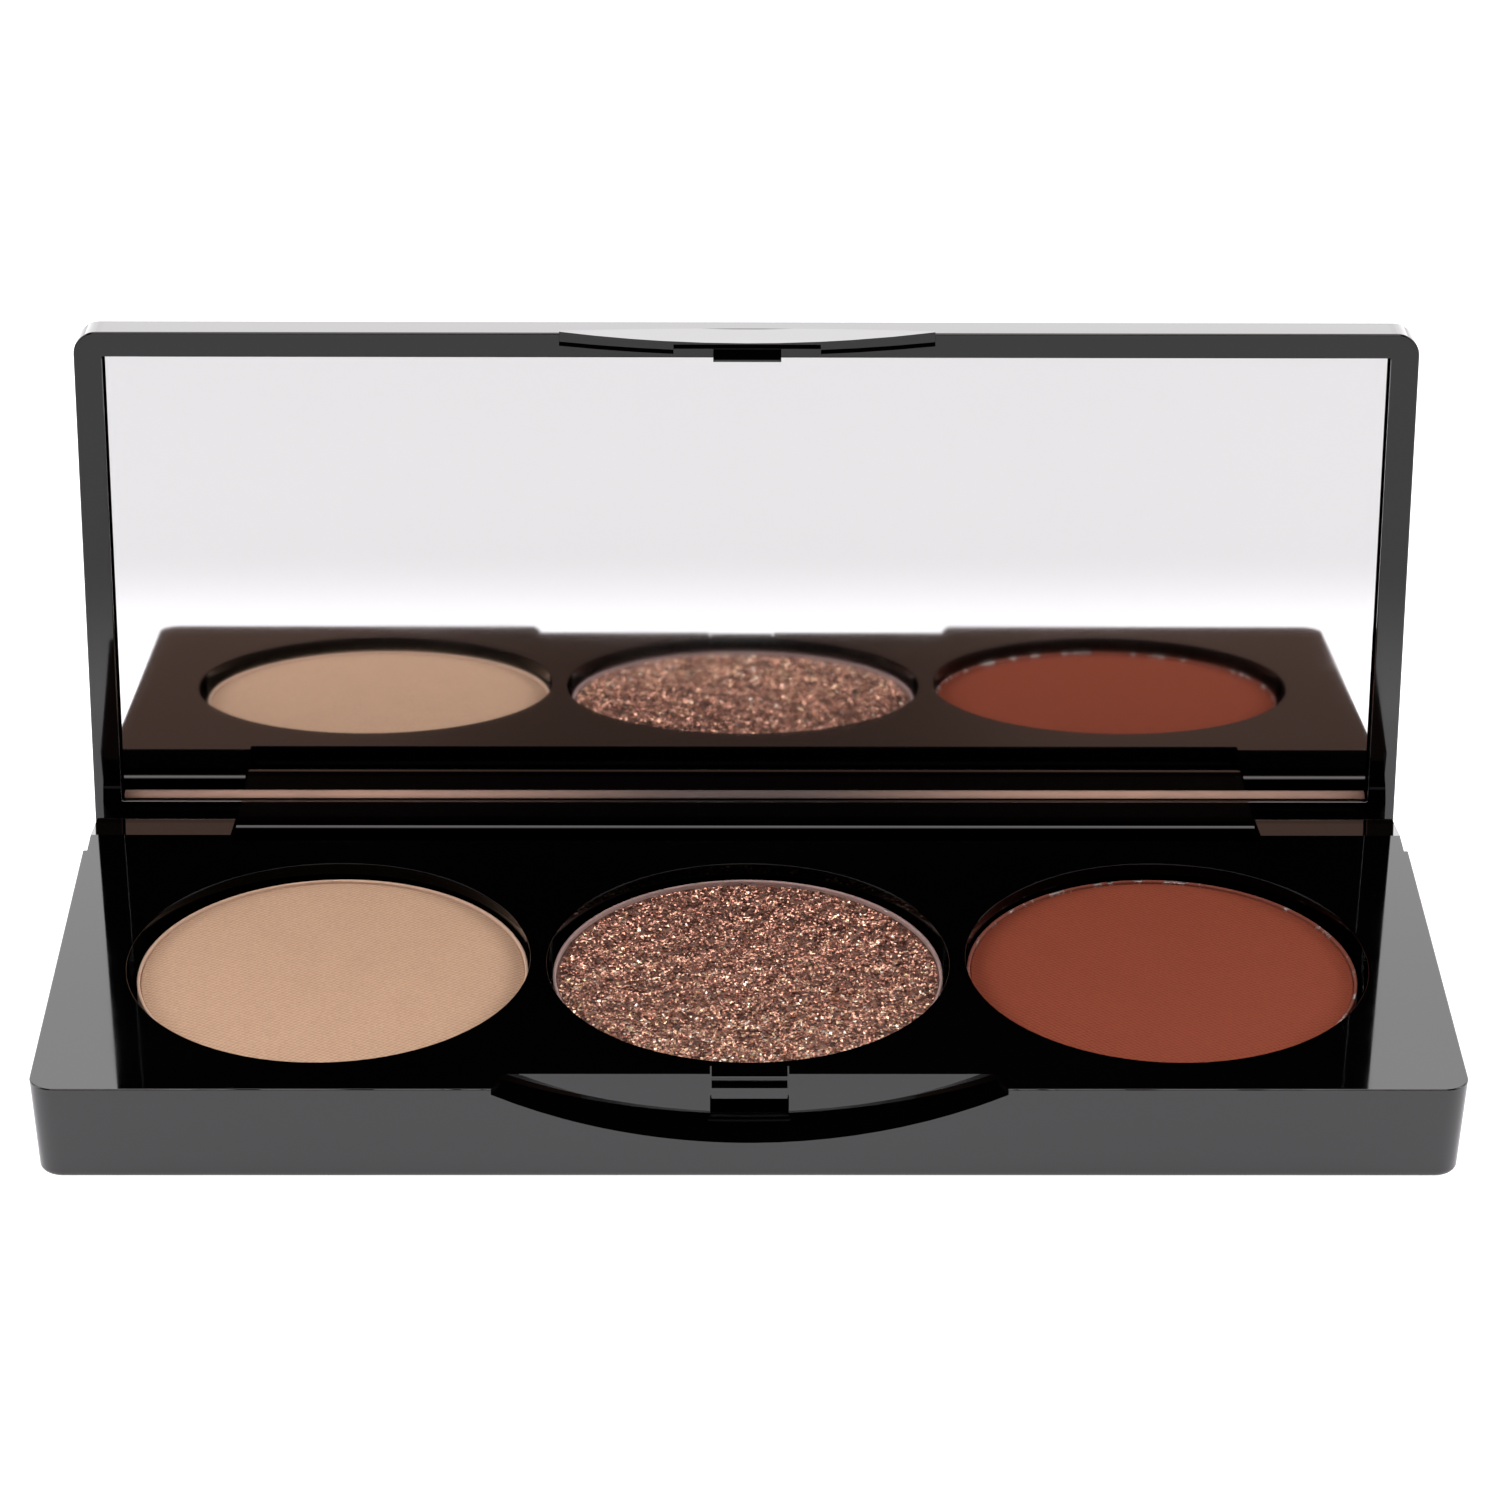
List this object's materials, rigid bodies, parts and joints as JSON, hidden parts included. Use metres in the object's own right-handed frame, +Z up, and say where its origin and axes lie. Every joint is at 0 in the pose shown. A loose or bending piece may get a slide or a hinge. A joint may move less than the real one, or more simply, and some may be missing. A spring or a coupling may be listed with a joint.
{
  "type": "eyeshadow palette",
  "caption": "Slim rectangular eyeshadow palette with round pans of pressed powder, a thumb notch and a hinged lid that holds a full-width mirror.",
  "frame": {"origin": "centre of the case's flat underside, on the surface it stands on", "axes": "+X to the right along the case's width, +Y to the hinge at the back, +Z up; the lid stands open, leaning back"},
  "size_m": [0.093, 0.0482, 0.0406],
  "materials": {
    "black_gloss_plastic": "polished black injection moulding",
    "label_paper": "blank silver-grey label",
    "clear_glue": "dried glue",
    "pan_aluminium": "pressed aluminium, satin",
    "beige_powder": "matte pressed powder",
    "glitter_powder": "pressed powder full of bronze glitter",
    "terracotta_powder": "matte pressed powder",
    "pin_steel": "drawn steel",
    "mirror_glass": "silvered glass with a bevelled edge",
    "adhesive_sheet": "double-sided adhesive sheet"
  },
  "bodies": {
    "case": {"case_body": "black_gloss_plastic", "underside_cover": "black_gloss_plastic", "underside_label": "label_paper", "glue_dot_left": "clear_glue", "glue_dot_middle": "clear_glue", "glue_dot_right": "clear_glue", "pan_left": "pan_aluminium", "pan_middle": "pan_aluminium", "pan_right": "pan_aluminium", "powder_left": "beige_powder", "powder_middle": "glitter_powder", "powder_right": "terracotta_powder", "hinge_pin_left": "pin_steel", "hinge_pin_right": "pin_steel"},
    "lid": {"lid_shell": "black_gloss_plastic", "mirror": "mirror_glass", "mirror_adhesive": "adhesive_sheet"}
  },
  "joints": [
    {"name": "lid_hinge", "type": "hinge", "parent": "case", "child": "lid", "pos_m": [0, 0.01739, 0.00323], "axis": [1, 0, 0], "range_deg": [0, 95]}
  ]
}
